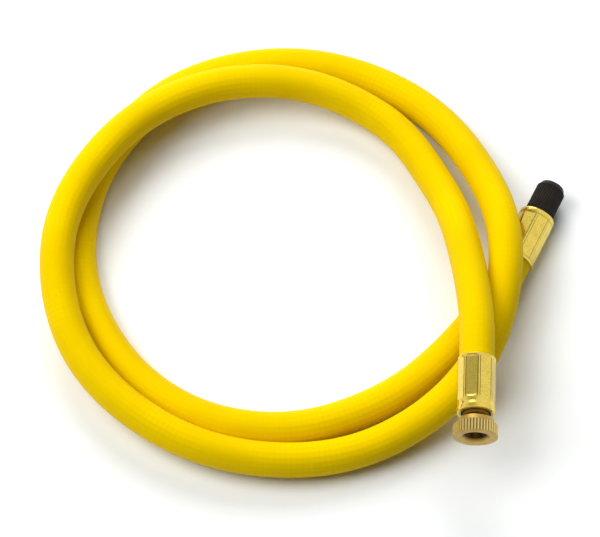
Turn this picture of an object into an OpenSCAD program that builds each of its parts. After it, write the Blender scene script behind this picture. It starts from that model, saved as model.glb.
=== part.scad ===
// Short rubber air hose, lying in two loose turns.
// One end has a crimped ferrule and a swivelling, knurled nut with a female valve thread.
// The other end has a crimped ferrule and a threaded valve stem with its core and a screw cap.
// Millimetres, +Z up, the floor at z = 0, the origin under the middle of the whole hose.

/* [Hose] */
// Outside diameter of the hose
hose_d = 12; // [10.5:0.5:14]
// Thickness of the yellow cover
cover_wall = 1.1; // [0.8:0.1:1.3]
// Thickness of the textile braid under the cover
braid_wall = 0.5; // [0.3:0.1:0.6]
// Wall of the inner rubber tube, which leaves a bore of 6 mm
liner_wall = 1.4; // [1.2:0.1:1.6]
// Middle radius of the two turns
coil_r = 72; // [68:1:90]
// Straight hose before the mouth of the valve ferrule
valve_lead = 4; // [2:0.5:8]
// Straight hose before the mouth of the nut ferrule
nut_lead = 5.6; // [3:0.2:8]

/* [Ferrules] */
// Length of each ferrule
ferrule_len = 20; // [18:0.5:26]
// How far a ferrule's skin stands out from the hose
ferrule_proud = 0.5; // [0.4:0.05:1]
// How deep a ferrule presses into the hose
squeeze = 0.35; // [0.2:0.05:0.4]
// Flats that the crimping jaws leave round each ferrule
flat_count = 8; // [6:1:10]
// Depth of each flat
flat_depth = 0.35; // [0.2:0.05:0.45]
// Length of the plain bead at the closed end of the nut ferrule
bead_len = 3.4; // [3.2:0.1:5]
// How far that bead stands out from the rest of the ferrule
bead_proud = 0.15; // [0:0.05:0.3]
// Depth of the waist behind the bead
waist_depth = 0.25; // [0.1:0.05:0.4]
// Length of the plain end in front of the flats of the valve ferrule
plain_len = 1.8; // [1.6:0.1:3.4]
// Thickness of the web at a ferrule's closed end
web_wall = 1.2; // [0.8:0.1:1.4]
// Thickness of the rim round the recess in front of that web
rim_wall = 1.5; // [1.3:0.1:1.8]
// Depth of that recess
recess_depth = 1.6; // [1.2:0.1:2]

/* [Barbed tails] */
// Diameter of the neck that passes through the web of a ferrule
neck_d = 6; // [5.6:0.1:6.4]
// Bore through each tail
tail_bore_d = 3.2; // [2.4:0.1:3.4]
// Height of each barb over the shank
barb_height = 0.5; // [0.3:0.05:0.6]
// Barbs on each tail
barb_count = 4; // [3:1:5]
// Diameter of the collar that the cut end of the hose butts against
collar_d = 9; // [8:0.5:10]

/* [Swivel nut] */
// Diameter over the knurl
nut_d = 15.2; // [14.5:0.1:18]
// Length of the knurled band
grip_len = 4.1; // [3.5:0.1:8]
// Flutes round the knurled band
flute_count = 44; // [24:2:60]
// Depth of each flute
flute_depth = 0.3; // [0.15:0.05:0.5]
// Wall of the hub round the chamber for the tail's head
hub_wall = 0.65; // [0.5:0.05:0.8]
// How far the hub flares out
hub_flare = 1.6; // [0.8:0.05:2.1]
// Length of the hub
hub_len = 3.3; // [3:0.1:5]
// Length of the smooth cone and the shoulder between the hub and the knurled band
cone_len = 2.2; // [1:0.1:3]
// Width of the shallow bevel round the nut's face
bevel_wall = 1.3; // [0.8:0.1:1.6]
// Diameter of the hole through the nut's thread, at the thread's crests
nut_thread_d = 7.1; // [7:0.05:7.3]
// Diameter of the tail's journal that the nut turns on
journal_d = 5; // [4.6:0.1:5.2]
// Thickness of the tail's head that holds the nut
head_wall = 1.2; // [1:0.1:1.4]
// Thickness of the sealing washer
washer_wall = 1.15; // [0.8:0.05:1.2]

/* [Valve stem] */
// Diameter over the stem's thread
stem_d = 7.75; // [7.6:0.05:7.8]
// Length of the thread in front of the ferrule
stem_len = 9.6; // [8:0.1:11]
// Hole for the valve core's plug
plug_hole_d = 5.2; // [5:0.05:5.4]
// Bore below the core's seat
chamber_d = 3.9; // [3.7:0.05:4.1]
// How far the core's pin can be pressed in
pin_travel = 1.5; // [1:0.1:1.6]

/* [Cap] */
// Diameter over the cap's ribs
cap_d = 10.4; // [10:0.1:12]
// Length of the cap
cap_len = 12.9; // [12:0.1:14]
// Length of the smooth skirt at the cap's mouth
cap_skirt = 1.1; // [0.6:0.1:2]
// Ribs round the cap
rib_count = 36; // [24:2:48]
// Height of each rib
rib_height = 0.25; // [0.1:0.05:0.35]
// Thickness of the rubber seal in the cap
cap_seal_wall = 0.9; // [0.6:0.1:1.2]

/* [Hidden] */

// finishes
HOSE_YELLOW = [0.98, 0.82, 0.02];
INNER_BLACK = [0.16, 0.16, 0.16];
BRAID_WHITE = [0.92, 0.91, 0.86];
BRIGHT_BRASS = [0.86, 0.72, 0.34];
DULL_BRASS = [0.76, 0.60, 0.32];
CAP_BLACK = [0.12, 0.12, 0.11];
SEAL_RED = [0.45, 0.16, 0.12];
SPRING_STEEL = [0.72, 0.72, 0.74];

$fn = 48;

// clearances
slip = 0.05;       // round parts that turn or are pressed together, on the radius
face_gap = 0.05;   // faces that lie on each other
show_gap = 0.2;    // between the cap and the ferrule
hub_gap = 0.35;    // round the nut's hub in the recess of its ferrule
head_gap = 0.3;    // round the tail's head in the nut's chamber
washer_gap = 0.2;  // round the washer in that chamber
core_gap = 0.2;    // round the parts of the valve core
turned_off = 0.05; // left on a knurl's lands for turning to size

// where the hose lies: one row for each step round the coil, clockwise from the valve end.
// Each row holds [how far outside the middle radius, how far above the floor], in hose widths.
step_angle = 30;
start_angle = -3;
coil_x = -8.35;
coil_y = -2.1;
ROUTE = [
    [0.69, 0.16], [-0.41, 0], [-0.71, 0], [-0.65, 0], [-0.50, 0], [-0.35, 0],
    [-0.05, 0], [0.30, 0], [0.65, 0], [0.75, 0], [0.70, 0.05], [0.45, 0.60],
    [0.50, 1.25], [0.65, 0.70], [0.49, 0.20], [0.40, 0.25], [0.48, 0.45], [0.60, 0.60],
    [0.48, 0.98], [0.12, 1.05], [-0.05, 0.81], [-0.26, 0.60], [-0.50, 0.35], [-0.90, 0.65],
    [-0.70, 1.40], [0.60, 1.95]
];
last_row = len(ROUTE) - 1;
foot_cut = hose_d / 10;              // the hose is pressed flat by this much where it lies down
rest_height = hose_d / 2 - foot_cut;

// which way each end points, in degrees: round the coil from +X, and up from level
valve_angle = 64;
valve_pitch = 0;
nut_angle = -92.4;
nut_pitch = -1.5;
valve_way = heading(valve_angle, valve_pitch);
nut_way = heading(nut_angle, nut_pitch);
valve_mouth = station(0) + valve_lead * valve_way;
nut_mouth = station(last_row) + nut_lead * nut_way;

// hose section
sides = 12;
rings_per_step = 2;
braid_d = hose_d - 2 * cover_wall;
liner_d = braid_d - 2 * braid_wall;
bore_d = liner_d - 2 * liner_wall;

// along a fitting, measured from the mouth of its ferrule
ferrule_d = hose_d + 2 * ferrule_proud;
pocket_d = hose_d - 2 * squeeze;
recess_d = ferrule_d - 2 * rim_wall;
recess_at = ferrule_len - recess_depth;
web_at = recess_at - web_wall;
collar_wall = 0.95;
collar_at = web_at - collar_wall;
hose_end = collar_at - face_gap;
tail_start = 1.5;
shank_d = bore_d - 0.2;
mouth_flare = 0.45;
flat_start = 1.5;
flat_run_out = 1.2;
nut_flats_turn = -5;                 // how far each ferrule happened to be turned in the jaws
valve_flats_turn = 4;
waist_at = ferrule_len - bead_len;
plain_at = ferrule_len - plain_len;

// swivel nut
neck_end = recess_at + 0.3;
nut_rear = neck_end + 0.3;
cone_at = nut_rear + hub_len;
grip_at = cone_at + cone_len;
nut_front = grip_at + grip_len;
hub_d = recess_d - 2 * hub_gap;
nut_chamber_d = hub_d - 2 * hub_wall;
head_d = nut_chamber_d - 2 * head_gap;
washer_d = nut_chamber_d - 2 * washer_gap;
rear_wall = 1.4;
flare_r = 2.3;
shoulder_len = 0.6;
shoulder_height = 1;
chamber_at = nut_rear + rear_wall;
head_at = chamber_at + 0.1;
washer_at = head_at + head_wall + face_gap;
chamber_end = washer_at + washer_wall + 0.1;
washer_hole_d = tail_bore_d + 0.2;
bevel_len = 0.3;
hole_chamfer = 1.35;

// valve stem and its core, measured inwards from the stem's tip
flange_at = recess_at + 0.1;
flange_wall = recess_depth - 0.5;
flange_d = recess_d - hub_gap;
stem_at = flange_at + flange_wall;
stem_tip = ferrule_len + stem_len;
plug_d = plug_hole_d - 2 * slip;
plug_in = 1;
plug_len = 4.8;
plug_bore_d = 2.2;
plug_bridge = 3.2;
barrel_in = plug_in + plug_len;
barrel_len = 6.6;
barrel_d = chamber_d - 2 * core_gap;
barrel_bore_d = barrel_d - 1.2;
barrel_floor = 0.8;
floor_in = barrel_in + barrel_len - barrel_floor;
seat_in = plug_in + plug_len + 0.4;
seat_len = 1.2;
seat_d = chamber_d + 0.8;
pin_d = 1;
pin_in = 0.3;
pin_collar_in = barrel_in + 0.5;
pin_collar_wall = 0.5;
pin_collar_d = barrel_bore_d - 2 * core_gap;
cup_in = barrel_in + barrel_len + 0.35;
cup_len = 1.15;
cup_d = barrel_d - 0.1;
cup_recess = 0.55;
rivet_wall = 0.3;
pin_end = cup_in + cup_len + face_gap + rivet_wall;
chamber_end_in = pin_end + pin_travel + 0.25;
spring_in = pin_collar_in + pin_collar_wall + face_gap;
spring_wire = 0.28;
spring_turns = 5;
spring_d = barrel_bore_d - 2 * core_gap; // to the middle of the wire
spring_len = floor_in - face_gap - spring_in;

// cap
cap_mouth = ferrule_len + show_gap;
cap_end = cap_mouth + cap_len;
cap_bore_d = stem_d + 3 * slip;
cap_seal_at = stem_tip + 2 * face_gap;
cap_bore_end = cap_seal_at + cap_seal_wall + face_gap;

// ---------- the route ----------

function heading(angle, pitch) = [cos(angle) * cos(pitch), sin(angle) * cos(pitch), sin(pitch)];

function station(k) =
    let (angle = start_angle - k * step_angle, r = coil_r + ROUTE[k][0] * hose_d)
    [coil_x + r * cos(angle), coil_y + r * sin(angle), rest_height + ROUTE[k][1] * hose_d];

// the pull at each station makes evenly spaced stations on a circle come out as that circle
pull = 2 * tan(step_angle / 4) / sin(step_angle);

function pull_at(k) =
    k == 0 ? -norm(station(1) - station(0)) * valve_way :
    k == last_row ? norm(station(k) - station(k - 1)) * nut_way :
    pull * (station(k + 1) - station(k - 1));

// a cubic from station k to the next, t from 0 to 1
function along(k, t) =
    (2 * t^3 - 3 * t^2 + 1) * station(k) + (t^3 - 2 * t^2 + t) * pull_at(k)
    + (3 * t^2 - 2 * t^3) * station(k + 1) + (t^3 - t^2) * pull_at(k + 1);

function way_along(k, t) =
    unit((6 * t^2 - 6 * t) * (station(k) - station(k + 1)) + (3 * t^2 - 4 * t + 1) * pull_at(k)
    + (3 * t^2 - 2 * t) * pull_at(k + 1));

function unit(v) = v / norm(v);

// [centre, direction] of every ring of the hose, from one cut end to the other
RINGS = concat(
    [[valve_mouth + hose_end * valve_way, -valve_way], [valve_mouth, -valve_way]],
    [for (k = [0 : last_row - 1]) for (j = [0 : rings_per_step - 1])
        [along(k, j / rings_per_step), way_along(k, j / rings_per_step)]],
    [[station(last_row), nut_way], [nut_mouth, nut_way], [nut_mouth + hose_end * nut_way, nut_way]]
);
ring_count = len(RINGS);

// ---------- the hose ----------

// one ring of a skin; its first corner is the lowest. The outer skin is flat where it meets the
// floor, and the skins inside it give way by half as much of the wall as lies below them.
function ring_points(ring, r) =
    let (
        way = ring[1], side = unit([-way.y, way.x, 0]), up = cross(way, side),
        lowest = (hose_d / 2 - r) / 2
    )
    [for (i = [0 : sides - 1])
        let (a = i * 360 / sides, p = ring[0] + r * (sin(a) * side - cos(a) * up))
        [p.x, p.y, max(p.z, lowest)]];

function skin(r) = [for (ring = RINGS) for (p = ring_points(ring, r)) p];

// triangles of the outer skin, or of the inner one when it is turned round
function skin_faces(first, inwards) = [
    for (k = [0 : ring_count - 2]) for (i = [0 : sides - 1])
        let (
            j = (i + 1) % sides,
            a = first + k * sides + i, b = first + k * sides + j,
            c = a + sides, d = b + sides
        )
        each (inwards ? [[a, b, d], [a, d, c]] : [[a, d, b], [a, c, d]])
];

// the flat end between the two skins at one ring
function end_faces(ring, last) = [
    for (i = [0 : sides - 1])
        let (
            j = (i + 1) % sides,
            a = ring * sides + i, b = ring * sides + j,
            c = a + ring_count * sides, d = b + ring_count * sides
        )
        each (last ? [[a, d, b], [a, c, d]] : [[a, b, d], [a, d, c]])
];

// one layer of the hose: a tube with a bore, swept along the whole route
module layer(outer_d, inner_d) {
    polyhedron(
        points = concat(skin(outer_d / 2), skin(inner_d / 2)),
        faces = concat(
            skin_faces(0, false),
            skin_faces(ring_count * sides, true),
            end_faces(0, false),
            end_faces(ring_count - 1, true)
        ),
        convexity = 12
    );
}

module hose_cover() {
    color(HOSE_YELLOW) layer(hose_d, braid_d);
}

module hose_braid() {
    color(BRAID_WHITE) layer(braid_d, liner_d);
}

module hose_liner() {
    color(INNER_BLACK) layer(liner_d, bore_d);
}

// the least gap between stretches of hose that are more than three widths apart along it
SAMPLES = [
    for (k = [2 : ring_count - 3]) for (j = [0 : 3])
        RINGS[k][0] + (RINGS[k + 1][0] - RINGS[k][0]) * j / 4
];
far_on = ceil(3 * hose_d / norm(SAMPLES[4] - SAMPLES[0])) * 4;
LEAST_GAP = min([
    for (a = [0 : len(SAMPLES) - 1 - far_on]) for (b = [a + far_on : len(SAMPLES) - 1])
        norm(SAMPLES[a] - SAMPLES[b])
]) - hose_d;
HOSE_LENGTH = sum([for (k = [0 : ring_count - 2]) norm(RINGS[k + 1][0] - RINGS[k][0])]);
function sum(v, i = 0) = i < len(v) ? v[i] + sum(v, i + 1) : 0;
union() {  // hose_cover
    echo(least_gap_mm = LEAST_GAP, hose_length_mm = HOSE_LENGTH, rings = ring_count);
    echo(nut_mouth = nut_mouth, nut_way = nut_way, valve_mouth = valve_mouth, valve_way = valve_way);
}

// ---------- shared shapes ----------

// puts a fitting, drawn along +Z from the mouth of its ferrule, at an end of the hose
module at_nut() {
    translate(nut_mouth) rotate([0, 90 - nut_pitch, nut_angle]) children();
}

module at_valve() {
    translate(valve_mouth) rotate([0, 90 - valve_pitch, valve_angle]) children();
}

// a valve core piece, drawn along +Z from the stem's tip inwards
module in_stem() {
    at_valve() translate([0, 0, stem_tip]) mirror([0, 0, 1]) children();
}

module ring(from, to, outer_d, inner_d) {
    translate([0, 0, from]) difference() {
        cylinder(h = to - from, d = outer_d);
        translate([0, 0, -1]) cylinder(h = to - from + 2, d = inner_d);
    }
}

// points of an arc, for the outline of a turned piece
function arc(x, y, r, from, to, steps = 8) =
    [for (i = [0 : steps]) let (a = from + (to - from) * i / steps) [x + r * cos(a), y + r * sin(a)]];

// an outline of flutes or ribs: lands and valleys with sloping sides. Lands that are turned down to
// a round shape afterwards are left on by a little.
function fluted(d, depth, count, left_on = 0) = [
    for (i = [0 : count - 1]) for (part = [[0, 0], [0.45, 0], [0.6, 1], [0.85, 1]])
        let (a = (i + part[0]) * 360 / count, r = d / 2 + left_on - part[1] * (depth + left_on))
        [r * cos(a), r * sin(a)]
];

// ---------- ferrules and tails ----------

// a drawn sleeve with crimped flats and a web round the neck of its tail; its closed end is a
// waist and a rounded bead, or plain
module ferrule(flats_turn, beaded) {
    skin_r = ferrule_d / 2;
    edge = 0.3;
    bead_top = skin_r + bead_proud;
    bead_edge_r = rim_wall - 0.7;
    plain_edge_r = rim_wall - 0.3;
    waist_r = 2;                    // of the hollow that makes the waist
    fall = acos(1 - waist_depth / waist_r);
    rise = acos(1 - (waist_depth + bead_proud) / waist_r);
    difference() {
        rotate_extrude($fn = 72) polygon(concat(
            [[0, 0], [skin_r - edge, 0], [skin_r, edge]],
            beaded
                ? concat(
                    arc(skin_r - waist_depth + waist_r, waist_at, waist_r, 180 + fall, 180 - rise, 6),
                    arc(bead_top - bead_edge_r, ferrule_len - bead_edge_r, bead_edge_r, 0, 90)
                )
                : arc(skin_r - plain_edge_r, ferrule_len - plain_edge_r, plain_edge_r, 0, 90),
            [[recess_d / 2, ferrule_len], [0, ferrule_len]]
        ));
        translate([0, 0, -1]) cylinder(h = web_at + 1, d = pocket_d);
        translate([0, 0, -0.01]) cylinder(h = 1, d1 = pocket_d + 2 * mouth_flare, d2 = pocket_d);
        translate([0, 0, -1]) cylinder(h = ferrule_len + 2, d = neck_d + 2 * slip);
        translate([0, 0, recess_at]) cylinder(h = recess_depth + 1, d = recess_d);
        for (i = [0 : flat_count - 1])
            rotate([0, 0, (i + 0.5) * 360 / flat_count + flats_turn])
                crimp_cut((beaded ? waist_at : plain_at) - flat_run_out);
    }
}

// what one jaw presses away: a flat that curves out at both ends
module crimp_cut(flat_end) {
    flat_at = ferrule_d / 2 - flat_depth;
    out_r = 2.2;
    translate([0, ferrule_d / 2, 0]) rotate([90, 0, 0]) linear_extrude(ferrule_d) polygon(concat(
        arc(flat_at + out_r, flat_start, out_r, 270, 180, 8),
        arc(flat_at + out_r, flat_end, out_r, 180, 90, 8)
    ));
}

// outline of a barbed shank, from its tip to the collar and through the ferrule's web
function tail_outline(neck_to) =
    let (pitch = (collar_at - tail_start - 1) / barb_count, r = shank_d / 2)
    concat(
        [[0, tail_start]],
        [for (i = [0 : barb_count - 1]) for (p = [[r, 0.1], [r + barb_height, 0.75], [r, 0.8]])
            [p[0], tail_start + (i + p[1]) * pitch]],
        [
            [r, collar_at], [collar_d / 2, collar_at], [collar_d / 2, web_at],
            [neck_d / 2, web_at], [neck_d / 2, neck_to]
        ]
    );

module nut_ferrule() {
    color(BRIGHT_BRASS) at_nut() ferrule(nut_flats_turn, true);
}

module valve_ferrule() {
    color(BRIGHT_BRASS) at_valve() ferrule(valve_flats_turn, false);
}

// barbed tail of the nut end: its journal and head carry the swivel nut
module nut_tail() {
    head_end = head_at + head_wall;
    color(DULL_BRASS) at_nut() difference() {
        rotate_extrude() polygon(concat(tail_outline(neck_end), [
            [journal_d / 2, neck_end], [journal_d / 2, head_at], [head_d / 2, head_at],
            [head_d / 2, head_end], [0, head_end]
        ]));
        translate([0, 0, tail_start - 1]) cylinder(h = head_end - tail_start + 2, d = tail_bore_d);
    }
}

// ---------- nut end ----------

// hub swaged in behind the head of the tail, a flare, a cone and a shoulder, and the knurled
// band, whose flutes run out on the shoulder and on the bevel of the face
module swivel_nut() {
    hub_r = hub_d / 2;
    flare_turn = acos(1 - hub_flare / flare_r);
    color(DULL_BRASS) at_nut() difference() {
        intersection() {
            translate([0, 0, nut_rear]) linear_extrude(nut_front - nut_rear)
                polygon(fluted(nut_d, flute_depth, flute_count, turned_off));
            rotate_extrude() polygon(concat(
                [[0, nut_rear], [hub_r - 0.3, nut_rear], [hub_r, nut_rear + 0.3]],
                arc(hub_r + flare_r, cone_at - flare_r * sin(flare_turn), flare_r, 180, 180 - flare_turn),
                [
                    [nut_d / 2 - shoulder_height, grip_at - shoulder_len],
                    [nut_d / 2, grip_at], [nut_d / 2, nut_front - bevel_len],
                    [nut_d / 2 - bevel_wall, nut_front], [0, nut_front]
                ]
            ));
        }
        translate([0, 0, nut_rear - 1]) cylinder(h = rear_wall + 2, d = journal_d + 2 * slip);
        translate([0, 0, chamber_at]) cylinder(h = chamber_end - chamber_at, d = nut_chamber_d);
        translate([0, 0, chamber_end - 1]) cylinder(h = nut_front - chamber_end + 2, d = nut_thread_d);
        translate([0, 0, nut_front - hole_chamfer])
            cylinder(h = hole_chamfer + 0.01, d1 = nut_thread_d, d2 = nut_thread_d + 2 * hole_chamfer);
    }
}

module nut_washer() {
    color(SEAL_RED) at_nut() ring(washer_at, washer_at + washer_wall, washer_d, washer_hole_d);
}

// flat key pressed in the tail's bore, with the pin that opens the valve the nut is screwed on
module core_depressor() {
    key_wall = 0.8;
    key_len = 2.4;
    key_at = head_at + head_wall - 0.2 - key_len;
    point_at = washer_at + washer_wall - 0.2;
    color(DULL_BRASS) at_nut() union() {
        intersection() {
            translate([-tail_bore_d, -key_wall / 2, key_at])
                cube([2 * tail_bore_d, key_wall, key_len]);
            translate([0, 0, key_at]) cylinder(h = key_len, d = tail_bore_d - slip);
        }
        translate([0, 0, key_at]) cylinder(h = point_at - key_at, d = 1.5 * key_wall);
    }
}

// ---------- valve end ----------

// barbed tail, flange in the ferrule's recess and threaded stem with the bore for the core
module valve_stem() {
    tip_chamfer = 0.4;
    color(BRIGHT_BRASS) at_valve() difference() {
        rotate_extrude() polygon(concat(tail_outline(flange_at), [
            [flange_d / 2, flange_at], [flange_d / 2, stem_at], [stem_d / 2, stem_at],
            [stem_d / 2, stem_tip - tip_chamfer], [stem_d / 2 - tip_chamfer, stem_tip], [0, stem_tip]
        ]));
        translate([0, 0, tail_start - 1]) cylinder(h = stem_tip, d = tail_bore_d);
        translate([0, 0, stem_tip]) mirror([0, 0, 1]) {
            translate([0, 0, -1]) cylinder(h = 1 + seat_in, d = plug_hole_d);
            translate([0, 0, seat_in - 0.001]) cylinder(h = seat_len, d1 = seat_d, d2 = chamber_d);
            cylinder(h = chamber_end_in, d = chamber_d);
            translate([0, 0, -0.01]) cylinder(h = 0.5, d1 = plug_hole_d + 1, d2 = plug_hole_d);
        }
    }
}

// threaded plug of the core, with a bridge across its outer end for the key
module core_plug() {
    bridge_depth = 1.8;
    color(BRIGHT_BRASS) in_stem() difference() {
        ring(plug_in, plug_in + plug_len, plug_d, plug_bore_d);
        for (turn = [0, 180]) rotate([0, 0, turn])
            translate([plug_bridge / 2, -plug_d, plug_in - 1])
                cube([plug_d, 2 * plug_d, bridge_depth + 1]);
    }
}

module core_barrel() {
    color(BRIGHT_BRASS) in_stem() difference() {
        translate([0, 0, barrel_in + face_gap]) cylinder(h = barrel_len - face_gap, d = barrel_d);
        translate([0, 0, barrel_in - 1]) cylinder(h = floor_in - barrel_in + 1, d = barrel_bore_d);
        translate([0, 0, barrel_in]) cylinder(h = barrel_len + 1, d = pin_d + 0.3);
    }
}

// soft ring on the barrel that seals in the stem's tapered seat
module core_gasket() {
    gasket_in = seat_in + 0.1;
    color(SEAL_RED) in_stem() difference() {
        translate([0, 0, gasket_in]) cylinder(
            h = seat_len - 0.2, d1 = seat_d - 2 * slip - 0.1, d2 = chamber_d - 2 * slip + 0.05
        );
        translate([0, 0, gasket_in - 1]) cylinder(h = seat_len + 2, d = barrel_d + slip);
    }
}

module core_pin() {
    color(BRIGHT_BRASS) in_stem() rotate_extrude() polygon([
        [0, pin_in], [pin_d / 2 - 0.15, pin_in], [pin_d / 2, pin_in + 0.15],
        [pin_d / 2, pin_collar_in], [pin_collar_d / 2, pin_collar_in],
        [pin_collar_d / 2, pin_collar_in + pin_collar_wall], [pin_d / 2, pin_collar_in + pin_collar_wall],
        [pin_d / 2, pin_end - rivet_wall], [pin_d / 2 + 0.3, pin_end - rivet_wall],
        [pin_d / 2 + 0.2, pin_end], [0, pin_end]
    ]);
}

// round wire wound as a helix, one unbroken tube
module core_spring() {
    wire_sides = 6;
    rings_per_turn = 10;
    wire_r = spring_wire / 2;
    count = spring_turns * rings_per_turn;
    climb = (spring_len - spring_wire) / count;
    points = [
        for (k = [0 : count]) let (turn = k * 360 / rings_per_turn, h = spring_in + wire_r + k * climb)
            for (i = [0 : wire_sides - 1])
                let (a = i * 360 / wire_sides, r = spring_d / 2 + wire_r * cos(a))
                [r * cos(turn), r * sin(turn), h + wire_r * sin(a)]
    ];
    walls = [
        for (k = [0 : count - 1]) for (i = [0 : wire_sides - 1])
            let (j = (i + 1) % wire_sides, a = k * wire_sides + i, b = k * wire_sides + j)
            each [[a, b, b + wire_sides], [a, b + wire_sides, a + wire_sides]]
    ];
    ends = [
        for (i = [1 : wire_sides - 2]) each [
            [0, i + 1, i], [count * wire_sides, count * wire_sides + i, count * wire_sides + i + 1]
        ]
    ];
    color(SPRING_STEEL) in_stem() polyhedron(points = points, faces = concat(walls, ends), convexity = 8);
}

// cup on the pin that carries the core's seal
module core_cup() {
    color(BRIGHT_BRASS) in_stem() difference() {
        translate([0, 0, cup_in]) cylinder(h = cup_len, d = cup_d);
        translate([0, 0, cup_in - 1]) cylinder(h = cup_recess + 1, d = cup_d - 0.5);
        translate([0, 0, cup_in - 1]) cylinder(h = cup_len + 2, d = pin_d + slip);
    }
}

module core_seal() {
    seal_in = barrel_in + barrel_len + face_gap;
    color(INNER_BLACK) in_stem()
        ring(seal_in, cup_in + cup_recess - face_gap, cup_d - 0.5 - slip, pin_d + slip);
}

// ---------- cap ----------

// moulded cap: a plain skirt, fine ribs and a tapering closed end
module valve_cap() {
    crown_len = 1.8;
    crown_wall = 0.8;
    edge_r = 0.5;
    plain_d = cap_d - 2 * rib_height - 0.1;
    color(CAP_BLACK) at_valve() difference() {
        union() {
            translate([0, 0, cap_mouth]) cylinder(h = cap_skirt + 0.5, d = plain_d);
            translate([0, 0, cap_mouth + cap_skirt]) linear_extrude(cap_len - cap_skirt - crown_len)
                polygon(fluted(cap_d, rib_height, rib_count));
            rotate_extrude($fn = 72) polygon(concat(
                [[0, cap_end - crown_len - 0.5], [plain_d / 2, cap_end - crown_len - 0.5]],
                [[plain_d / 2, cap_end - crown_len]],
                arc(cap_d / 2 - crown_wall - edge_r, cap_end - edge_r, edge_r, 30, 90, 4),
                [[0, cap_end]]
            ));
        }
        translate([0, 0, cap_mouth - 1]) cylinder(h = cap_bore_end - cap_mouth + 1, d = cap_bore_d);
    }
}

module cap_seal() {
    color(INNER_BLACK) at_valve() translate([0, 0, cap_seal_at])
        cylinder(h = cap_seal_wall, d = cap_bore_d - 2 * slip);
}

hose_cover();
hose_braid();
hose_liner();
nut_ferrule();
nut_tail();
swivel_nut();
nut_washer();
core_depressor();
valve_ferrule();
valve_stem();
core_plug();
core_barrel();
core_gasket();
core_pin();
core_spring();
core_cup();
core_seal();
valve_cap();
cap_seal();
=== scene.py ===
import math

import bmesh
import bpy
import numpy as np
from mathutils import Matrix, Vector


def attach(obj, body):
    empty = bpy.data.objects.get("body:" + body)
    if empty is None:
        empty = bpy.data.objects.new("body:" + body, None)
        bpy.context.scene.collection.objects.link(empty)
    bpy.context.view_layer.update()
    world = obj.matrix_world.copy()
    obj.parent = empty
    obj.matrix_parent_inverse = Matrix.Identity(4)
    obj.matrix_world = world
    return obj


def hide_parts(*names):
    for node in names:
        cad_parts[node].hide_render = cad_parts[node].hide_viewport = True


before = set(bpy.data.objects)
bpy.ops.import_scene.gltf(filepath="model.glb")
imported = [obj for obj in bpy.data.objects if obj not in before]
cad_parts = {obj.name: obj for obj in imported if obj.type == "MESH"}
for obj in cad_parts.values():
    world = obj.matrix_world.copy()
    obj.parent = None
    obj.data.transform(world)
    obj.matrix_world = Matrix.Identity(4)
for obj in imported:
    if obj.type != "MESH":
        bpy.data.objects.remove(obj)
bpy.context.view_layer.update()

MM = 0.001
# Lengths in metres that differ by less than this are the same length.
ROUNDING = 1e-7

# ---------------------------------------------------------------- camera

VIEW_ELEVATION = math.radians(63)
VIEW_DISTANCE = 1.05
VIEW_LENS = 178.3
NEAREST_SEEN = 0.05
LOOKED_AT = Vector((-0.00185, -0.0021, 0.0))


def make_camera():
    """A long lens in front of the coil that looks down on it."""
    camera = bpy.data.objects.new("camera", bpy.data.cameras.new("camera"))
    bpy.context.scene.collection.objects.link(camera)
    back = Vector((0, -math.cos(VIEW_ELEVATION), math.sin(VIEW_ELEVATION)))
    camera.location = LOOKED_AT + VIEW_DISTANCE * back
    camera.rotation_euler = (-back).to_track_quat("-Z", "Y").to_euler()
    camera.data.lens = VIEW_LENS
    camera.data.clip_start = NEAREST_SEEN
    bpy.context.scene.camera = camera


make_camera()

# ---------------------------------------------------------------- the hose's route

# The route has the same rows as the part's source: one for each step round the coil, clockwise
# from the valve end, [how far outside COIL_R, how far above REST_HEIGHT] in hose widths.
HOSE_D = 12 * MM
BORE_D = 6 * MM
LINER_D = 8.8 * MM
BRAID_D = 9.8 * MM
COIL_R = 72 * MM
COIL_CENTRE = (-8.35 * MM, -2.1 * MM)
TURN_STEP = math.radians(30)
START_ANGLE = math.radians(-3)
REST_HEIGHT = 0.4 * HOSE_D
ROUTE = np.array([
    [0.69, 0.16], [-0.41, 0], [-0.71, 0], [-0.65, 0], [-0.50, 0], [-0.35, 0],
    [-0.05, 0], [0.30, 0], [0.65, 0], [0.75, 0], [0.70, 0.05], [0.45, 0.60],
    [0.50, 1.25], [0.65, 0.70], [0.49, 0.20], [0.40, 0.25], [0.48, 0.45], [0.60, 0.60],
    [0.48, 0.98], [0.12, 1.05], [-0.05, 0.81], [-0.26, 0.60], [-0.50, 0.35], [-0.90, 0.65],
    [-0.70, 1.40], [0.60, 1.95],
])
VALVE_AZIMUTH, VALVE_PITCH, VALVE_LEAD = 64, 0, 4 * MM
NUT_AZIMUTH, NUT_PITCH, NUT_LEAD = -92.4, -1.5, 5.6 * MM
# How far the hose reaches into a ferrule from its mouth.
HOSE_END = 16.2 * MM
POINTS_PER_STEP = 20
POINTS_PER_END = 12


def heading(azimuth, pitch):
    """The unit vector that points round from +X by azimuth and up by pitch, in degrees."""
    a, p = math.radians(azimuth), math.radians(pitch)
    return np.array([math.cos(a) * math.cos(p), math.sin(a) * math.cos(p), math.sin(p)])


def stations():
    """Each row of ROUTE as a point: its angle goes down by one step a row, its radius and
    height are the row's shares of the hose's width."""
    angle = START_ANGLE - TURN_STEP * np.arange(len(ROUTE))
    radius = COIL_R + ROUTE[:, 0] * HOSE_D
    return np.column_stack([
        COIL_CENTRE[0] + radius * np.cos(angle),
        COIL_CENTRE[1] + radius * np.sin(angle),
        REST_HEIGHT + ROUTE[:, 1] * HOSE_D,
    ])


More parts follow.
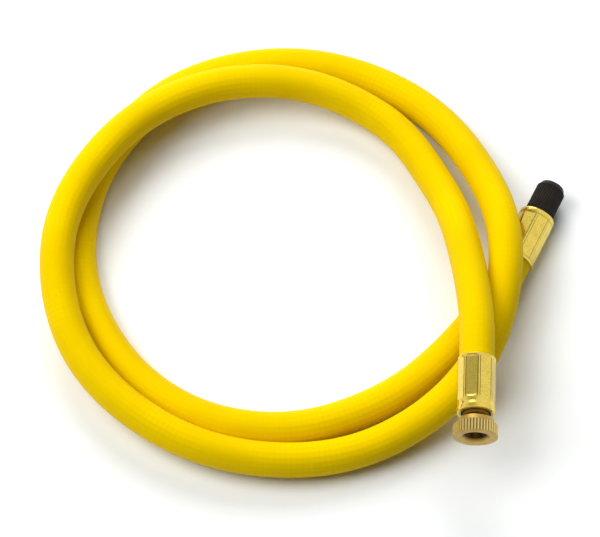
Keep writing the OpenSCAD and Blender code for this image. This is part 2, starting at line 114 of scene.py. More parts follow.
class End:
    """Where a fitting sits: the middle of its ferrule's mouth and the way it points, with the
    two directions across it (down, and to the side)."""

    def __init__(self, azimuth, pitch, last_station, lead):
        self.way = heading(azimuth, pitch)
        self.mouth = last_station + lead * self.way
        a, p = math.radians(azimuth), math.radians(pitch)
        self.down = np.array([math.sin(p) * math.cos(a), math.sin(p) * math.sin(a), -math.cos(p)])
        self.side = np.array([-math.sin(a), math.cos(a), 0.0])


POINTS = stations()
VALVE = End(VALVE_AZIMUTH, VALVE_PITCH, POINTS[0], VALVE_LEAD)
NUT = End(NUT_AZIMUTH, NUT_PITCH, POINTS[-1], NUT_LEAD)


def centre_line():
    """The middle of the hose. Between two stations it is the cubic that passes through both with
    a pull at each. The pull at an inner station is the chord across it, times twice the tangent
    of a quarter step over the sine of a step, which makes an even coil round. The ends run
    straight on into the ferrules."""
    pull = 2 * math.tan(TURN_STEP / 4) / math.sin(TURN_STEP)
    pulls = np.empty_like(POINTS)
    pulls[1:-1] = pull * (POINTS[2:] - POINTS[:-2])
    pulls[0] = -np.linalg.norm(POINTS[1] - POINTS[0]) * VALVE.way
    pulls[-1] = np.linalg.norm(POINTS[-1] - POINTS[-2]) * NUT.way
    t = np.linspace(0, 1, POINTS_PER_STEP, endpoint=False)[None, :, None]
    curve = (
        (2 * t**3 - 3 * t**2 + 1) * POINTS[:-1, None] + (t**3 - 2 * t**2 + t) * pulls[:-1, None]
        + (3 * t**2 - 2 * t**3) * POINTS[1:, None] + (t**3 - t**2) * pulls[1:, None]
    ).reshape(-1, 3)
    valve_run = np.linspace(HOSE_END, -VALVE_LEAD, POINTS_PER_END)[:-1, None]
    nut_run = np.linspace(-NUT_LEAD, HOSE_END, POINTS_PER_END)[:, None]
    into_valve = VALVE.mouth + valve_run * VALVE.way
    into_nut = NUT.mouth + nut_run * NUT.way
    return np.vstack([into_valve, curve, into_nut])


# ---------------------------------------------------------------- mesh tools

SHARP_EDGE = math.radians(38)
# The UV map that every new skin has, and the attribute that says where painted shade darkens them.
RUN = "run"
PAINTED_SHADE = "painted_shade"


def ramp(x, start, end):
    """0 before start, 1 after end, and three times the square less twice the cube between."""
    t = np.clip((x - start) / (end - start), 0, 1)
    return t * t * (3 - 2 * t)


def run_along(points):
    """How far each point lies from the first, measured along the line through them all."""
    return np.concatenate([[0], np.cumsum(np.linalg.norm(np.diff(points, axis=0), axis=1))])


def at_radius(r, radius):
    """Whether r is that radius."""
    return np.abs(r - radius) < ROUNDING


def run_map(along, width, sides):
    """The UV places of a skin's rows: how far along a row lies, and from 0 to width round it."""
    uv = np.empty((len(along), sides + 1, 2))
    uv[..., 0] = along[:, None]
    uv[..., 1] = np.linspace(0, width, sides + 1)
    return uv


def grid_piece(name, points, uv, closed_along, body, replaced, material, painted_shade=None):
    """A closed skin over a grid of points: rows go along it, columns go round it and meet. uv holds
    (along, around) for one row and one column more than the points, and painted_shade, from 0 to 1 at
    each point, says how much painted shade darkens its finish there. Doubled points, as at a pole,
    are merged."""
    rows, columns = points.shape[:2]
    last = rows if closed_along else rows - 1
    i, j = np.meshgrid(np.arange(last), np.arange(columns), indexing="ij")
    corners = [(i, j), (i, j + 1), (i + 1, j + 1), (i + 1, j)]
    quads = np.stack([(a % rows) * columns + b % columns for a, b in corners], axis=-1)
    mesh = bpy.data.meshes.new(name)
    mesh.from_pydata(points.reshape(-1, 3), [], quads.reshape(-1, 4))
    layer = mesh.uv_layers.new(name=RUN)
    loops = np.stack([uv[a, b] for a, b in corners], axis=2)
    layer.data.foreach_set("uv", loops.astype(np.float32).ravel())
    if painted_shade is not None:
        marks = mesh.attributes.new(PAINTED_SHADE, "FLOAT", "POINT")
        marks.data.foreach_set("value", painted_shade.astype(np.float32).ravel())
    tidy = bmesh.new()
    tidy.from_mesh(mesh)
    bmesh.ops.remove_doubles(tidy, verts=tidy.verts, dist=ROUNDING)
    bmesh.ops.recalc_face_normals(tidy, faces=tidy.faces)
    if tidy.calc_volume(signed=True) < 0:
        bmesh.ops.reverse_faces(tidy, faces=tidy.faces)
    tidy.to_mesh(mesh)
    tidy.free()
    mesh.shade_smooth()
    mesh.set_sharp_from_angle(angle=SHARP_EDGE)
    piece = bpy.data.objects.new(name, mesh)
    bpy.context.scene.collection.objects.link(piece)
    mesh.materials.append(material)
    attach(piece, body)
    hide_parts(*replaced)
    return piece


def softened(corners, steps=4):
    """An outline of (u, r) points in metres. Each corner (u, r, soft), in millimetres, becomes a
    parabola that starts and ends `soft` away from it along its two edges."""
    table = np.array(corners, dtype=float) * MM
    corner, soft = table[:, :2], table[:, 2:]
    back = np.roll(corner, 1, axis=0) - corner
    ahead = np.roll(corner, -1, axis=0) - corner
    back /= np.linalg.norm(back, axis=1, keepdims=True)
    ahead /= np.linalg.norm(ahead, axis=1, keepdims=True)
    t = np.linspace(0, 1, steps + 1)[None, :, None]
    start = (corner + soft * back)[:, None]
    end = (corner + soft * ahead)[:, None]
    curve = (1 - t) ** 2 * start + 2 * t * (1 - t) * corner[:, None] + t**2 * end
    return curve.reshape(-1, 2)


def finer(outline, gap, u_range, r):
    """The outline with more points, one each `gap`, where it runs along u_range at radius r.
    Points that lie on each other become one."""
    loop = np.vstack([outline, outline[:1]])
    run = run_along(loop)
    more = np.arange(0, run[-1], gap)
    u_more = np.interp(more, run, loop[:, 0])
    r_more = np.interp(more, run, loop[:, 1])
    wanted = (u_more > u_range[0]) & (u_more < u_range[1]) & at_radius(r_more, r)
    stops = np.union1d(run[:-1], more[wanted])
    return np.column_stack([np.interp(stops, run, loop[:, 0]), np.interp(stops, run, loop[:, 1])])


def turned(name, end, outline, sides, shape, body, replaced, material, closed=True,
           painted_shade=None):
    """The outline carried round a fitting's axis. A point lies u along the way from the mouth
    and its radius across it, from down at angle 0 towards the side at a quarter turn.
    shape(angle, u, r) gives each point's radius, and painted_shade(angle, u, r) how much painted
    shade darkens its finish.
    An outline that isn't closed starts and ends on the axis."""
    angle = np.arange(sides) * 2 * math.pi / sides
    u, r = outline[:, :1], outline[:, 1:]
    if shape is None:
        radius = np.broadcast_to(r, (len(outline), sides))
    else:
        radius = shape(angle[None], u, r)
    across = np.cos(angle)[:, None] * end.down + np.sin(angle)[:, None] * end.side
    points = end.mouth + u[:, :, None] * end.way + radius[:, :, None] * across
    loop = np.vstack([outline, outline[:1]]) if closed else outline
    uv = run_map(run_along(loop), 1, sides)
    marks = None if painted_shade is None else painted_shade(angle[None], u, r)
    return grid_piece(name, points, uv, closed, body, replaced, material, marks)


# ---------------------------------------------------------------- finishes


def new_finish(name, metallic=0.0):
    """A new material, its nodes and its shader."""
    material = bpy.data.materials.new(name)
    material.use_nodes = True
    tree = material.node_tree
    shader = tree.nodes["Principled BSDF"]
    shader.inputs["Metallic"].default_value = metallic
    return material, tree, shader


def feed(tree, socket, value):
    """Gives a socket a plain value, or a link from another node's socket."""
    if isinstance(value, bpy.types.NodeSocket):
        tree.links.new(value, socket)
    else:
        socket.default_value = value


def node(tree, kind, settings=None, **inputs):
    """A new node with its settings and inputs. An input is named by its socket, or by i and the
    socket's number."""
    made = tree.nodes.new(kind)
    for key, value in (settings or {}).items():
        setattr(made, key, value)
    for key, value in inputs.items():
        numbered = key[0] == "i" and key[1:].isdigit()
        feed(tree, made.inputs[int(key[1:]) if numbered else key], value)
    return made


def maths(tree, operation, a, b=0.0):
    """The operation on the numbers a and b, or on a alone."""
    return node(tree, "ShaderNodeMath", {"operation": operation}, i0=a, i1=b).outputs[0]


def times(tree, a, b):
    """a times b."""
    return maths(tree, "MULTIPLY", a, b)


def plus(tree, a, b):
    """a and b added up."""
    return maths(tree, "ADD", a, b)


def greater(tree, a, b):
    """The greater of a and b."""
    return maths(tree, "MAXIMUM", a, b)


def vector_maths(tree, operation, a, b=(0.0, 0.0, 0.0)):
    """The operation on the vectors a and b, or on a alone: its vector and its number."""
    made = node(tree, "ShaderNodeVectorMath", {"operation": operation}, i0=a, i1=b)
    return made.outputs[0], made.outputs[1]


def between(tree, value, low, high, to_low=0.0, to_high=1.0):
    """value's stretch from low to high, spread over to_low to to_high and clamped."""
    made = node(tree, "ShaderNodeMapRange", i0=value, i1=low, i2=high, i3=to_low, i4=to_high)
    return made.outputs[0]


def blended(tree, share, first, second):
    """Two colours mixed by share: the first at 0, the second at 1."""
    made = node(tree, "ShaderNodeMix", {"data_type": "RGBA"}, i0=share, i6=first, i7=second)
    return made.outputs[2]


def noise(tree, vector, scale, detail, roughness=0.5):
    """Soft noise from 0 to 1, with about `scale` swells a metre."""
    made = node(tree, "ShaderNodeTexNoise", Vector=vector, Scale=scale, Detail=detail,
                Roughness=roughness)
    return made.outputs["Fac"]


def place_of(tree):
    """The place on the piece, in metres."""
    return tree.nodes.new("ShaderNodeTexCoord").outputs["Object"]


def run_of(tree):
    """Metres along the piece's own skin, and metres or a share round it, as two sockets."""
    uv = node(tree, "ShaderNodeUVMap", {"uv_map": RUN}).outputs[0]
    parts = node(tree, "ShaderNodeSeparateXYZ", i0=uv)
    return parts.outputs[0], parts.outputs[1]


def painted_shade_of(tree):
    """How much painted shade darkens the piece's skin, from 0 to 1, as its maker marked it."""
    return node(tree, "ShaderNodeAttribute", {"attribute_name": PAINTED_SHADE}).outputs["Fac"]


def crossing_waves(tree, count, girth):
    """Two sine waves that wind round a hose layer in opposite ways, as the strands of a braid
    do: of the way along plus the way round, and of the way along less the way round, with
    `count` waves in a girth."""
    along, around = run_of(tree)
    rate = 2 * math.pi * count / girth
    return [maths(tree, "SINE", times(tree, maths(tree, sign, along, around), rate))
            for sign in ("ADD", "SUBTRACT")]


def radius_from(tree, end):
    """How far a place is from a fitting's axis: the length of the cross product of the way and
    the arm from the mouth to the place."""
    arm, _ = vector_maths(tree, "SUBTRACT", place_of(tree), tuple(end.mouth))
    across, _ = vector_maths(tree, "CROSS_PRODUCT", arm, tuple(end.way))
    _, radius = vector_maths(tree, "LENGTH", across)
    return radius


def dress(tree, shader, colour, roughness, height=None, depth=0.0):
    """Feeds the shader its colour, its roughness and a bump of `depth` metres."""
    feed(tree, shader.inputs["Base Color"], colour)
    feed(tree, shader.inputs["Roughness"], roughness)
    if height is not None:
        bump = node(tree, "ShaderNodeBump", Height=height, Distance=depth)
        tree.links.new(bump.outputs[0], shader.inputs["Normal"])


def hose_rubber():
    """Satin yellow rubber. The braid beneath shows faintly, in patches, as the product of two
    crossing waves, with soft mottling and a few small dark specks."""
    deep_yellow, light_yellow = (0.75, 0.51, 0.0, 1), (0.81, 0.56, 0.0, 1)
    shaded_yellow, speck_brown = (0.60, 0.38, 0.0, 1), (0.16, 0.10, 0.01, 1)
    strand_count, braid_relief = 10, 2.0
    material, tree, shader = new_finish("hose_rubber")
    place = place_of(tree)
    patchy = between(tree, noise(tree, place, 45, 3), 0.35, 0.65)
    grain = noise(tree, place, 2600, 3, 0.6)
    one_way, other_way = crossing_waves(tree, strand_count, math.pi * HOSE_D)
    braid = times(tree, times(tree, one_way, other_way), patchy)
    colour = blended(tree, patchy, deep_yellow, light_yellow)
    colour = blended(tree, between(tree, braid, -0.9, 0.9, 0.0, 0.18), colour, shaded_yellow)
    cells = node(tree, "ShaderNodeTexVoronoi", Vector=place, Scale=210.0)
    near = between(tree, cells.outputs["Distance"], 0.05, 0.13, 1.0, 0.0)
    draw = node(tree, "ShaderNodeSeparateColor", i0=cells.outputs["Color"]).outputs[0]
    picked = between(tree, draw, 0.955, 0.965)
    specks = times(tree, times(tree, near, picked), 0.55)
    colour = blended(tree, specks, colour, speck_brown)
    shader.inputs["Specular IOR Level"].default_value = 0.08
    shader.inputs["Specular Tint"].default_value = (1.0, 0.75, 0.0, 1)
    height = plus(tree, times(tree, braid, braid_relief), grain)
    dress(tree, shader, colour, between(tree, patchy, 0.0, 1.0, 0.55, 0.65), height, 0.02 * MM)
    return material


def polished_brass():
    """Bright drawn brass with a slightly uneven polish, small dents with painted glints, and painted
    shade in the grooves and wherever else a piece marks it."""
    bright, dull = (0.78, 0.58, 0.10, 1), (0.68, 0.49, 0.08, 1)
    dent_glint_gold, shade_brown = (0.95, 0.80, 0.20, 1), (0.10, 0.075, 0.012, 1)
    material, tree, shader = new_finish("polished_brass", metallic=1.0)
    place = place_of(tree)
    cloud = noise(tree, place, 260, 4, 0.6)
    dents = noise(tree, place, 2400, 3, 0.65)
    colour = blended(tree, between(tree, cloud, 0.35, 0.7), bright, dull)
    # Painted glints: the dents are painted a brighter gold.
    colour = blended(tree, between(tree, dents, 0.50, 0.60, 0.0, 0.45), colour, dent_glint_gold)
    # Painted shade: the brass turns dark brown in the grooves, inside the sleeve and where a plain
    # sleeve's flats run out.
    colour = blended(tree, times(tree, painted_shade_of(tree), 0.9), colour, shade_brown)
    height = plus(tree, times(tree, cloud, 1.6), dents)
    dress(tree, shader, colour, between(tree, dents, 0.3, 0.7, 0.12, 0.17), height, 0.006 * MM)
    return material


def turned_brass():
    """The nut's duller machined brass: fine rings left by the tool, a slightly stained tone, crests
    on the band painted paler as rubbed wear and a painted highlight, painted shade in its flutes, and
    a hole darkened by painted shade."""
    clean, stained = (0.52, 0.345, 0.085, 1), (0.40, 0.255, 0.06, 1)
    crest_wear_and_sheen_gold, shade_brown = (0.86, 0.68, 0.25, 1), (0.20, 0.12, 0.02, 1)
    hole_shade_brown = (0.05, 0.022, 0.004, 1)
    ring_gap, ring_relief = 0.16 * MM, 0.25
    crest_start, crest_full = 7.40 * MM, 7.54 * MM
    hole_full, hole_end = 3.6 * MM, 4.6 * MM
    material, tree, shader = new_finish("turned_brass", metallic=1.0)
    place = place_of(tree)
    along, _ = run_of(tree)
    rings = maths(tree, "SINE", times(tree, along, 2 * math.pi / ring_gap))
    cloud = noise(tree, place, 320, 4, 0.6)
    grain = noise(tree, place, 3000, 2, 0.6)
    radius = radius_from(tree, NUT)
    colour = blended(tree, between(tree, cloud, 0.3, 0.7), clean, stained)
    # Partly rubbed wear and partly a painted highlight: the crests of the band are painted a paler
    # gold.
    crests = between(tree, radius, crest_start, crest_full, 0.0, 0.7)
    colour = blended(tree, crests, colour, crest_wear_and_sheen_gold)
    # Painted shade: the flutes are painted dark brown, fading inwards on the face and the shoulder.
    colour = blended(tree, times(tree, painted_shade_of(tree), 0.8), colour, shade_brown)
    # Painted shade: the threaded hole is painted a near-black brown.
    hole = between(tree, radius, hole_full, hole_end, 0.93, 0.0)
    colour = blended(tree, hole, colour, hole_shade_brown)
    height = plus(tree, times(tree, rings, ring_relief), grain)
    dress(tree, shader, colour, between(tree, grain, 0.3, 0.7, 0.28, 0.40), height, 0.008 * MM)
    return material


def plain_brass():
    """Machined brass for the small parts inside the fittings."""
    clean, stained = (0.82, 0.60, 0.22, 1), (0.66, 0.45, 0.15, 1)
    material, tree, shader = new_finish("plain_brass", metallic=1.0)
    cloud = noise(tree, place_of(tree), 500, 3, 0.6)
    colour = blended(tree, between(tree, cloud, 0.3, 0.7), clean, stained)
    dress(tree, shader, colour, between(tree, cloud, 0.3, 0.7, 0.22, 0.36), cloud, 0.01 * MM)
    return material


def cap_plastic():
    """Black moulded plastic with a fine spark-eroded grain and paler, rubbed patches."""
    black, rubbed_grey = (0.008, 0.006, 0.004, 1), (0.017, 0.013, 0.009, 1)
    material, tree, shader = new_finish("cap_plastic")
    place = place_of(tree)
    grain = noise(tree, place, 3200, 3, 0.6)
    rubbed = noise(tree, place, 300, 4, 0.6)
    colour = blended(tree, between(tree, rubbed, 0.45, 0.75), black, rubbed_grey)
    shader.inputs["Specular IOR Level"].default_value = 0.15
    dress(tree, shader, colour, between(tree, grain, 0.3, 0.7, 0.45, 0.60), grain, 0.015 * MM)
    return material


def moulded_rubber(name, dark, light, roughness):
    """Matt moulded rubber with a faint bloom."""
    material, tree, shader = new_finish(name)
    bloom = noise(tree, place_of(tree), 700, 4, 0.6)
    colour = blended(tree, between(tree, bloom, 0.35, 0.7), dark, light)
    matt = between(tree, bloom, 0.3, 0.7, roughness, roughness + 0.12)
    dress(tree, shader, colour, matt, bloom, 0.01 * MM)
    return material


def braid_yarn():
    """White textile yarn, laid on in crossing diagonals: the greater of two crossing waves."""
    gap_grey, yarn_white = (0.55, 0.53, 0.47, 1), (0.86, 0.84, 0.78, 1)
    yarn_count = 16
    material, tree, shader = new_finish("braid_yarn")
    weave = greater(tree, *crossing_waves(tree, yarn_count, math.pi * BRAID_D))
    colour = blended(tree, between(tree, weave, -0.2, 0.9), gap_grey, yarn_white)
    dress(tree, shader, colour, 0.85, weave, 0.1 * MM)
    return material


def spring_steel():
    """Drawn steel wire with faint streaks."""
    bright, dull = (0.62, 0.62, 0.64, 1), (0.46, 0.46, 0.48, 1)
    material, tree, shader = new_finish("spring_steel", metallic=1.0)
    streaks = noise(tree, place_of(tree), 1800, 3, 0.6)
    colour = blended(tree, between(tree, streaks, 0.3, 0.7), bright, dull)
    dress(tree, shader, colour, between(tree, streaks, 0.3, 0.7, 0.25, 0.4))
    return material


HOSE_RUBBER = hose_rubber()
POLISHED_BRASS = polished_brass()
TURNED_BRASS = turned_brass()
PLAIN_BRASS = plain_brass()
CAP_PLASTIC = cap_plastic()
BLACK_RUBBER = moulded_rubber("black_rubber", (0.012, 0.012, 0.012, 1), (0.03, 0.03, 0.03, 1), 0.6)
RED_RUBBER = moulded_rubber("red_rubber", (0.085, 0.018, 0.012, 1), (0.15, 0.035, 0.022, 1), 0.5)
BRAID_YARN = braid_yarn()
SPRING_STEEL = spring_steel()

# ---------------------------------------------------------------- the hose

HOSE_PATH = centre_line()
COVER_SIDES = 48
INNER_SIDES = COVER_SIDES // 2
SQUASHED_SHARE = 0.5


def hose_layer(name, outer_d, inner_d, sides, replaced, material):
    """A tube with a bore: at every point of the route, a ring of the layer's radius that starts
    below and turns to the side, first along its outer skin and back along the inner one. Where
    it lies on the floor the outer skin is flat, and each skin inside it stops at its own share
    of the wall."""
    way = np.gradient(HOSE_PATH, axis=0)
    way /= np.linalg.norm(way, axis=1, keepdims=True)
    side = np.column_stack([-way[:, 1], way[:, 0], np.zeros(len(way))])
    side /= np.linalg.norm(side, axis=1, keepdims=True)
    up = np.cross(way, side)
    angle = np.arange(sides) * 2 * math.pi / sides
    across = np.sin(angle)[:, None] * side[:, None] - np.cos(angle)[:, None] * up[:, None]

    def skin(r):
        points = HOSE_PATH[:, None] + r * across
        points[..., 2] = np.maximum(points[..., 2], SQUASHED_SHARE * (HOSE_D / 2 - r))
        return points

    points = np.concatenate([skin(outer_d / 2), skin(inner_d / 2)[::-1]])
    run = run_along(HOSE_PATH)
    there_and_back = np.concatenate([run, run[::-1], run[:1]])
    uv = run_map(there_and_back, math.pi * outer_d, sides)
    return grid_piece(name, points, uv, True, "hose", replaced, material)


def make_hose():
    """The yellow cover, the braid in it and the inner tube."""
    cover = hose_layer("hose_cover_skin", HOSE_D, BRAID_D, COVER_SIDES,
                       ["hose_cover"], HOSE_RUBBER)
    braid = hose_layer("hose_braid_sleeve", BRAID_D, LINER_D, INNER_SIDES,
                       ["hose_braid"], BRAID_YARN)
    liner = hose_layer("hose_inner_tube", LINER_D, BORE_D, INNER_SIDES,
                       ["hose_liner"], BLACK_RUBBER)
    return cover, braid, liner


# ---------------------------------------------------------------- fittings

# Outlines and the radii in them are in millimetres. u runs outwards from the ferrule's mouth.
FERRULE_R = 6.5
FLAT_COUNT = 8
FLAT_DEPTH = 0.35
GROOVE_DEPTH = 0.04 * MM
GROOVE_WIDTH = math.radians(2.2)
NUT_FLATS_TURN = math.radians(-5)
VALVE_FLATS_TURN = math.radians(4)
THREAD_PITCH = 0.794 * MM
THREAD_DEPTH = 0.42 * MM
THREAD_GAP = THREAD_PITCH / 8
FLUTE_COUNT = 44
FLUTE_DEPTH = 0.3 * MM
RIB_COUNT = 36
RIB_HEIGHT = 0.25 * MM
FERRULE_SIDES = 480
PLAIN_SIDES = 96


def thread(angle, u):
    """0 at the crest and 1 at the root of a right-hand thread: half of one less the cosine of
    the turns that u along the axis is ahead of the angle round it."""
    return (1 - np.cos(2 * math.pi * u / THREAD_PITCH - angle)) / 2


def crimped_ferrule(name, end, flats_turn, beaded, replaced):
    """A drawn sleeve whose barrel is the lesser of its round radius and the flats that the jaws
    pressed. A flat's radius is its distance from the axis over the cosine of the angle from its
    middle. A fine groove that a jaw's edge cut runs along both sides of each flat, and the flats
    run out at both ends. The closed end is a bead behind a waist, or plain."""
    if beaded:
        closed_end = [(15.7, FERRULE_R, 0.4), (17.0, FERRULE_R - 0.3, 0.5),
                      (18.9, FERRULE_R + 0.2, 0.8), (20.0, FERRULE_R + 0.1, 0.45)]
        flats_end, run_out = 15.8, 1.0
    else:
        closed_end = [(20.0, FERRULE_R, 1.0)]
        flats_end, run_out = 17.9, 0.35
    outline = softened([
        (0.0, 6.1, 0.12), (0.0, FERRULE_R, 0.3), *closed_end, (20.0, 5.0, 0.12), (18.4, 5.0, 0.1),
        (18.4, 3.05, 0.1), (17.2, 3.05, 0.1), (17.2, 5.65, 0.1), (1.0, 5.65, 0.2),
    ], 6)
    outline = finer(outline, 0.25 * MM, (0.2 * MM, (flats_end + 1.2) * MM), FERRULE_R * MM)
    step = 2 * math.pi / FLAT_COUNT
    ridge = math.acos((FERRULE_R - FLAT_DEPTH) / FERRULE_R)

    def jaw(u):
        """How far the jaws are pressed in at u, from 0 to 1."""
        opening = ramp(u, 0.7 * MM, 1.6 * MM)
        closing = ramp(u, (flats_end - run_out) * MM, (flats_end + run_out) * MM)
        return opening * (1 - closing)

    def flat_and_groove(angle):
        """The angle from the middle of the flat, and 1 in a groove beside it."""
        off_middle = (angle - flats_turn) % step - step / 2
        return off_middle, 1 - ramp(np.abs(np.abs(off_middle) - ridge), 0.0, GROOVE_WIDTH)

    def pressed(angle, u, r):
        """The barrel's radius. A flat that is hardly pressed in is lifted clear of the barrel."""
        depth = jaw(u)
        off_middle, groove = flat_and_groove(angle)
        flat = (FERRULE_R - FLAT_DEPTH * depth) * MM
        flat = flat / np.cos(off_middle) + 0.5 * MM * (1 - ramp(depth, 0.0, 0.15))
        barrel = np.minimum(r, flat) - GROOVE_DEPTH * groove * depth
        return np.where((r > 6.0 * MM) & (depth > 0), barrel, r)

    def painted_shade(angle, u, r):
        """Painted shade in the grooves and inside the sleeve. On a plain sleeve the grooves get less
        of it, and it also falls where the flats run out."""
        depth = jaw(u)
        _, groove = flat_and_groove(angle)
        marks = groove * depth
        if not beaded:
            marks = np.maximum(0.6 * marks, 2 * depth * (1 - depth))
        return np.maximum(marks, r < 5.8 * MM) * np.ones_like(angle)

    return turned(name, end, outline, FERRULE_SIDES, pressed, "hose", replaced,
                  POLISHED_BRASS, painted_shade=painted_shade)


def knurled_nut():
    """A hub, its hollow flare, a smooth cone and a shoulder, and a band with straight flutes
    that run out on the shoulder and on the shallow bevel of the face. The threaded hole is
    countersunk and lies in front of the chamber for the tail's head."""
    band_r, crest_r = 7.6, 3.55
    outline = softened([
        (19.0, 2.55, 0.1), (19.0, 4.65, 0.3), (21.75, 4.65, 1.5), (22.3, 6.25, 0.3),
        (23.9, 6.6, 0.2), (24.5, band_r, 0.12), (28.3, band_r, 0.12), (28.6, 6.3, 0.2),
        (28.6, 4.9, 0.15), (27.25, crest_r, 0.1), (23.0, crest_r, 0.05), (23.0, 4.0, 0.1),
        (20.4, 4.0, 0.1), (20.4, 2.55, 0.1),
    ], 8)
    outline = finer(outline, THREAD_GAP, (23.1 * MM, 27.25 * MM), crest_r * MM)
    outline = finer(outline, 0.4 * MM, (24.5 * MM, 28.3 * MM), band_r * MM)

    def flute(angle):
        """0 on a crest and 1 in the middle of a flute: one less the 0.7th power of the sine of
        half the flute count times the angle, without its sign."""
        return 1 - np.abs(np.sin(FLUTE_COUNT / 2 * angle)) ** 0.7

    def cut(angle, u, r):
        """The radius, with the flutes in the band and the thread in the hole."""
        valley = band_r * MM - FLUTE_DEPTH * flute(angle)
        threaded = at_radius(r, crest_r * MM) & (u > 23.05 * MM)
        fluted = np.where(r > 6.9 * MM, np.minimum(r, valley), r)
        return np.where(threaded, r + THREAD_DEPTH * thread(angle, u), fluted)

    def painted_shade(angle, u, r):
        """Painted shade in the flutes, fading inwards on the face and the shoulder."""
        return flute(angle) * ramp(r, 6.9 * MM, 7.5 * MM)

    return turned("knurled_nut", NUT, outline, FLUTE_COUNT * 8, cut, "nut",
                  ["swivel_nut"], TURNED_BRASS, painted_shade=painted_shade)


def washer_ring():
    """A plain ring with soft edges."""
    outline = softened([
        (21.75, 1.7, 0.2), (21.75, 3.8, 0.25), (22.9, 3.8, 0.3), (22.9, 1.7, 0.3),
    ], 5)
    return turned("washer_ring", NUT, outline, PLAIN_SIDES, None, "hose",
                  ["nut_washer"], RED_RUBBER)


def threaded_stem():
    """A barbed tail, a collar and a flange, and the stem with its thread and the stepped bore for
    the core."""
    crest_r = 3.875
    barb_count, tail_start, tail_end = 4, 1.5, 16.25
    barb_pitch = (tail_end - tail_start - 1) / barb_count
    barbs = [
        (tail_start + (i + share) * barb_pitch, r, 0.06)
        for i in range(barb_count) for share, r in ((0.1, 2.9), (0.75, 3.4), (0.8, 2.9))
    ]
    outline = softened([
        (tail_start, 1.6, 0.1), (tail_start, 2.85, 0.1), *barbs, (tail_end, 2.9, 0.05),
        (tail_end, 4.5, 0.1), (17.2, 4.5, 0.1), (17.2, 3.0, 0.1), (18.5, 3.0, 0.1),
        (18.5, 4.82, 0.15), (19.6, 4.82, 0.15), (19.6, crest_r, 0.1), (29.2, crest_r, 0.1),
        (29.6, crest_r - 0.4, 0.1), (29.6, 3.1, 0.08), (29.1, 2.6, 0.1), (23.4, 2.6, 0.05),
        (23.4, 2.35, 0.05), (22.2, 1.95, 0.1), (13.6, 1.95, 0.1), (13.6, 1.6, 0.1),
    ], 3)
    outline = finer(outline, THREAD_GAP, (19.8 * MM, 29.2 * MM), crest_r * MM)

    def cut(angle, u, r):
        """The radius, with the thread cut in, deeper over its first turn."""
        threaded = at_radius(r, crest_r * MM) & (u > 19.7 * MM)
        depth = THREAD_DEPTH * ramp(u, 19.8 * MM, 20.6 * MM)
        return np.where(threaded, r - depth * thread(angle, u), r)

    return turned("threaded_stem", VALVE, outline, PLAIN_SIDES, cut, "hose",
                  ["valve_stem"], POLISHED_BRASS)


def ribbed_cap():
    """A smooth skirt, a ribbed barrel and a rounded end, with a bore whose thread keeps step with
    the stem's. Between the ribs the barrel is lower by half the rib's height times one less the
    cosine of the rib count times the angle."""
    rib_r, bore_r = 5.2, 3.95
    outline = softened([
        (33.1, 0.0, 0.0), (33.1, 4.2, 0.35), (31.35, 4.95, 0.3), (31.25, rib_r - 0.05, 0.08),
        (31.1, rib_r, 0.08), (21.45, rib_r, 0.1), (21.35, rib_r - 0.26, 0.05),
        (20.2, rib_r - 0.28, 0.15), (20.2, bore_r + 0.15, 0.1), (20.45, bore_r, 0.1),
        (30.65, bore_r, 0.1), (30.65, 0.0, 0.0),
    ])
    outline = finer(outline, THREAD_GAP, (20.6 * MM, 29.9 * MM), bore_r * MM)

    def cut(angle, u, r):
        """The radius, with the ribs outside and the thread, which runs out at both ends, inside."""
        ribs = rib_r * MM - RIB_HEIGHT * (1 - np.cos(RIB_COUNT * angle)) / 2
        on_barrel = (r > (rib_r - 0.25) * MM) & (u > 21.3 * MM) & (u < 31.3 * MM)
        ribbed = np.where(on_barrel, np.minimum(r, ribs), r)
        threaded = at_radius(r, bore_r * MM) & (u > 20.55 * MM) & (u < 29.95 * MM)
        depth = THREAD_DEPTH * ramp(u, 20.6 * MM, 21.3 * MM) * (1 - ramp(u, 29.2 * MM, 29.9 * MM))
        return np.where(threaded, r - depth * thread(angle, u), ribbed)

    return turned("ribbed_cap", VALVE, outline, RIB_COUNT * 8, cut, "cap",
                  ["valve_cap"], CAP_PLASTIC, closed=False)


def dress_inner_parts():
    """The small parts inside the fittings keep their own solids and get their finishes."""
    finishes = {
        "nut_tail": PLAIN_BRASS, "core_depressor": PLAIN_BRASS, "core_plug": PLAIN_BRASS,
        "core_barrel": PLAIN_BRASS, "core_pin": PLAIN_BRASS, "core_cup": PLAIN_BRASS,
        "core_gasket": RED_RUBBER, "core_seal": BLACK_RUBBER, "cap_seal": BLACK_RUBBER,
        "core_spring": SPRING_STEEL,
    }
    for name, material in finishes.items():
        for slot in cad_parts[name].material_slots:
            slot.material = material


cover, braid, liner = make_hose()
nut_sleeve = crimped_ferrule("nut_end_ferrule", NUT, NUT_FLATS_TURN, True, ["nut_ferrule"])
valve_sleeve = crimped_ferrule("valve_end_ferrule", VALVE, VALVE_FLATS_TURN, False, ["valve_ferrule"])
nut = knurled_nut()
washer = washer_ring()
stem = threaded_stem()
cap = ribbed_cap()
dress_inner_parts()

# ---------------------------------------------------------------- floor and light

FLOOR_HALF = 3.0
FLOOR_LEVEL = -0.02 * MM
LAMP_DISTANCE = 1.6
LAMP_SIZE = 1.2
# Each lamp's name, azimuth and elevation in degrees, and watts.
LAMPS = [
    ("left_softbox", 180, 48, 17.0),
    ("back_softbox", 90, 38, 20.0),
    ("right_softbox", 45, 45, 3.5),
    ("top_softbox", 180, 70, 9.2),
]
# Two places in the white room that only reflections show: azimuth and elevation in degrees, and
# strength.
CORNER_AZIMUTH, CORNER_ELEVATION, CORNER_STRENGTH = 150, 58, 0.56
WINDOW_AZIMUTH, WINDOW_ELEVATION, WINDOW_STRENGTH = 102, 21, 3.6
ROOM_LIGHT = 0.05


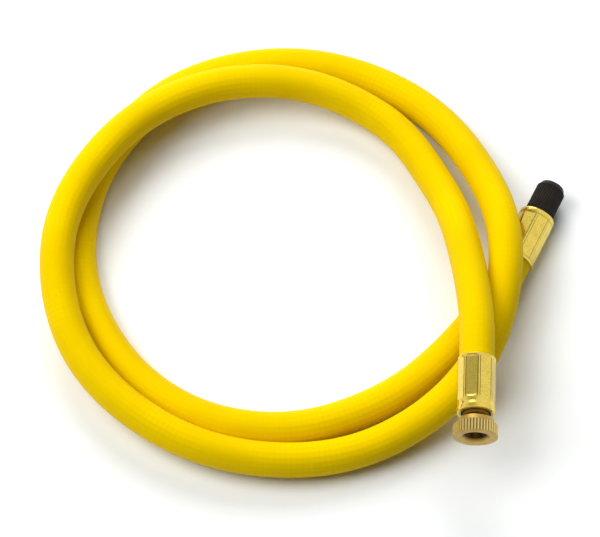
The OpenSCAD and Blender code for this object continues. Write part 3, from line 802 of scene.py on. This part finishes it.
def make_floor():
    """A wide white sheet, a hair below the hose."""
    mesh = bpy.data.meshes.new("floor")
    corners = [(x * FLOOR_HALF, y * FLOOR_HALF, FLOOR_LEVEL)
               for x, y in ((-1, -1), (1, -1), (1, 1), (-1, 1))]
    mesh.from_pydata(corners, [], [(0, 1, 2, 3)])
    floor = bpy.data.objects.new("floor", mesh)
    bpy.context.scene.collection.objects.link(floor)
    material, _, shader = new_finish("white_sheet")
    shader.inputs["Base Color"].default_value = (0.91, 0.93, 0.93, 1)
    shader.inputs["Roughness"].default_value = 0.9
    shader.inputs["Specular IOR Level"].default_value = 0.0
    mesh.materials.append(material)


def make_lamp(name, azimuth, elevation, power):
    """A large round softbox on a sphere round the hose, facing its middle. It doesn't show in
    reflections: the metal sees the room instead."""
    data = bpy.data.lights.new(name, "AREA")
    data.shape = "DISK"
    data.size = LAMP_SIZE
    data.energy = power
    lamp = bpy.data.objects.new(name, data)
    bpy.context.scene.collection.objects.link(lamp)
    away = Vector(heading(azimuth, elevation))
    lamp.location = LAMP_DISTANCE * away
    lamp.rotation_euler = (-away).to_track_quat("-Z", "Y").to_euler()
    lamp.visible_glossy = False


def make_world():
    """A white room that adds little light of its own. The metal sees it white, but for the dim
    corner between the softboxes and one small bright window low at the back."""
    world = bpy.data.worlds.new("room")
    world.use_nodes = True
    bpy.context.scene.world = world
    tree = world.node_tree
    back = tree.nodes["Background"]
    back.inputs["Color"].default_value = (1, 1, 1, 1)
    way = tree.nodes.new("ShaderNodeTexCoord").outputs["Generated"]

    def towards(azimuth, elevation):
        """The cosine of the angle between the way looked in and a heading."""
        _, cosine = vector_maths(tree, "DOT_PRODUCT", way, tuple(heading(azimuth, elevation)))
        return cosine

    corner = between(tree, towards(CORNER_AZIMUTH, CORNER_ELEVATION), 0.76, 0.97, 1.0,
                     CORNER_STRENGTH)
    window = between(tree, towards(WINDOW_AZIMUTH, WINDOW_ELEVATION), 0.94, 0.955, 0.0,
                     WINDOW_STRENGTH)
    rays = tree.nodes.new("ShaderNodeLightPath")
    seen = greater(tree, rays.outputs["Is Camera Ray"], rays.outputs["Is Transmission Ray"])
    mirrored = times(tree, rays.outputs["Is Glossy Ray"], greater(tree, corner, window))
    strength = greater(tree, greater(tree, seen, mirrored), ROOM_LIGHT)
    tree.links.new(strength, back.inputs["Strength"])


make_floor()
make_world()
for lamp_row in LAMPS:
    make_lamp(*lamp_row)

bpy.context.scene.view_settings.view_transform = "Standard"
